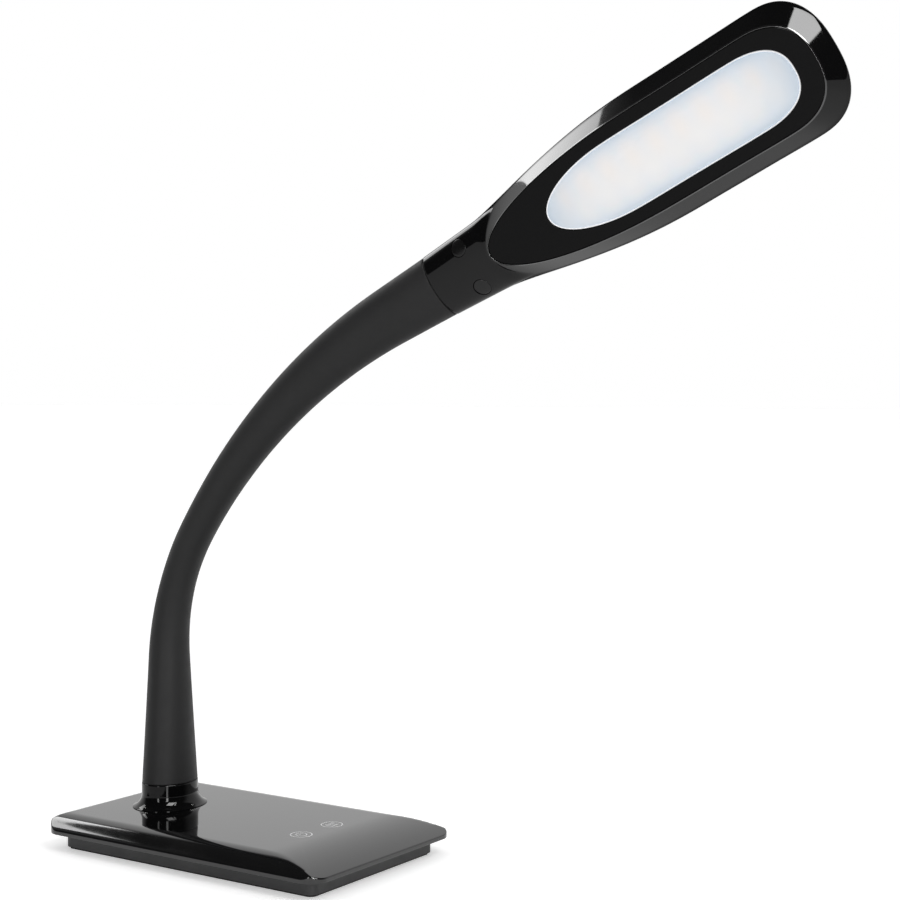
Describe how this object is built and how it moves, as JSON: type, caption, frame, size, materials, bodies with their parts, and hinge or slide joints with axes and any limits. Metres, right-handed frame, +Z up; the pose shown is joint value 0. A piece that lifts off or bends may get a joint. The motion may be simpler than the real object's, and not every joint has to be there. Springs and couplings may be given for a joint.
{
  "type": "gooseneck desk lamp",
  "caption": "Desk lamp with a flat weighted touch-control base, a soft-sleeved gooseneck and a paddle-shaped LED head with an oval diffuser.",
  "frame": {"origin": "centre of the base footprint on the table", "axes": "+X to the front of the base, where the touch marks are; +Z up; the neck stands near the rear edge and leans forward"},
  "size_m": [0.4347, 0.121, 0.4213],
  "materials": {
    "black_gloss": "high gloss",
    "charcoal_plastic": "fine matte",
    "black_rubber": "matte",
    "soft_sleeve": "soft matte, fine grain",
    "zinc_steel": "zinc plated",
    "weight_iron": "cast and painted",
    "circuit_board": "satin",
    "black_resin": "moulded",
    "contact_brass": "bright",
    "wire_jacket": "smooth",
    "aluminium_sheet": "brushed",
    "bezel_black": "satin gloss",
    "opal_lens": "frosted translucent",
    "white_plastic": "white reflective",
    "white_board": "white solder resist",
    "warm_phosphor": "clear resin over phosphor",
    "cool_phosphor": "clear resin over phosphor"
  },
  "bodies": {
    "base": {"base_top_cover": "black_gloss", "base_lower_housing": "charcoal_plastic", "base_foot_mat": "black_rubber", "base_screws": "zinc_steel", "counterweight": "weight_iron", "counterweight_screws": "zinc_steel", "control_board": "circuit_board", "control_board_screws": "zinc_steel", "board_connector": "black_resin", "touch_controller_chip": "black_resin", "power_choke": "black_resin", "touch_spring_power": "contact_brass", "touch_spring_brightness": "contact_brass", "dc_inlet_body": "black_resin", "dc_inlet_pin": "contact_brass", "dc_inlet_cradle": "charcoal_plastic", "power_lead": "wire_jacket", "neck_mount_plate": "zinc_steel", "neck_mount_screws": "zinc_steel", "neck_lock_washer": "zinc_steel", "neck_lock_nut": "zinc_steel", "neck_foot_bush": "charcoal_plastic", "neck_sleeve": "soft_sleeve", "neck_harness": "wire_jacket", "gooseneck_foot": "zinc_steel"},
    "link_1": {"gooseneck_segment_1": "zinc_steel"},
    "link_2": {"gooseneck_segment_2": "zinc_steel"},
    "link_3": {"gooseneck_segment_3": "zinc_steel"},
    "link_4": {"gooseneck_segment_4": "zinc_steel"},
    "link_5": {"gooseneck_segment_5": "zinc_steel"},
    "link_6": {"gooseneck_segment_6": "zinc_steel"},
    "link_7": {"gooseneck_segment_7": "zinc_steel"},
    "head": {"gooseneck_end": "zinc_steel", "wrist_clamp": "zinc_steel", "head_front_shell": "black_gloss", "head_back_cover": "black_gloss", "head_bezel": "bezel_black", "head_diffuser": "opal_lens", "reflector_frame": "white_plastic", "led_board": "white_board", "led_chips_warm": "warm_phosphor", "led_chips_cool": "cool_phosphor", "heat_spreader": "aluminium_sheet", "heat_spreader_screws": "zinc_steel", "wrist_screws": "zinc_steel", "wrist_plug_left": "black_rubber", "wrist_plug_right": "black_rubber", "lead_connector": "black_resin", "head_lead": "wire_jacket"}
  },
  "joints": [
    {"name": "neck_bend_1", "type": "hinge", "parent": "base", "child": "link_1", "pos_m": [-0.0574, 0, 0.1017], "axis": [0, 1, 0], "range_deg": [-17, 14], "deforming": ["neck_sleeve", "neck_harness"]},
    {"name": "neck_sway_2", "type": "hinge", "parent": "link_1", "child": "link_2", "pos_m": [-0.05236, 0, 0.13758], "axis": [-0.9613, 0, 0.2755], "range_deg": [-15, 15], "deforming": ["neck_sleeve", "neck_harness"]},
    {"name": "neck_bend_3", "type": "hinge", "parent": "link_2", "child": "link_3", "pos_m": [-0.03764, 0, 0.17068], "axis": [0, 1, 0], "range_deg": [-17, 14], "deforming": ["neck_sleeve", "neck_harness"]},
    {"name": "neck_twist_4", "type": "hinge", "parent": "link_3", "child": "link_4", "pos_m": [-0.01636, 0, 0.20012], "axis": [0.6305, 0, 0.7762], "range_deg": [-10, 30], "deforming": ["neck_sleeve", "neck_harness"]},
    {"name": "neck_bend_5", "type": "hinge", "parent": "link_4", "child": "link_5", "pos_m": [0.00809, 0, 0.227], "axis": [0, 1, 0], "range_deg": [-17, 14], "deforming": ["neck_sleeve", "neck_harness"]},
    {"name": "neck_sway_6", "type": "hinge", "parent": "link_5", "child": "link_6", "pos_m": [0.03537, 0, 0.25098], "axis": [-0.6171, 0, 0.7869], "range_deg": [-15, 15], "deforming": ["neck_sleeve", "neck_harness"]},
    {"name": "neck_twist_7", "type": "hinge", "parent": "link_6", "child": "link_7", "pos_m": [0.06517, 0, 0.27177], "axis": [0.8508, 0, 0.5255], "range_deg": [-10, 30], "deforming": ["neck_sleeve", "neck_harness"]},
    {"name": "neck_bend_8", "type": "hinge", "parent": "link_7", "child": "head", "pos_m": [0.09709, 0, 0.2891], "axis": [0, 1, 0], "range_deg": [-17, 14], "deforming": ["neck_sleeve", "neck_harness"]}
  ]
}
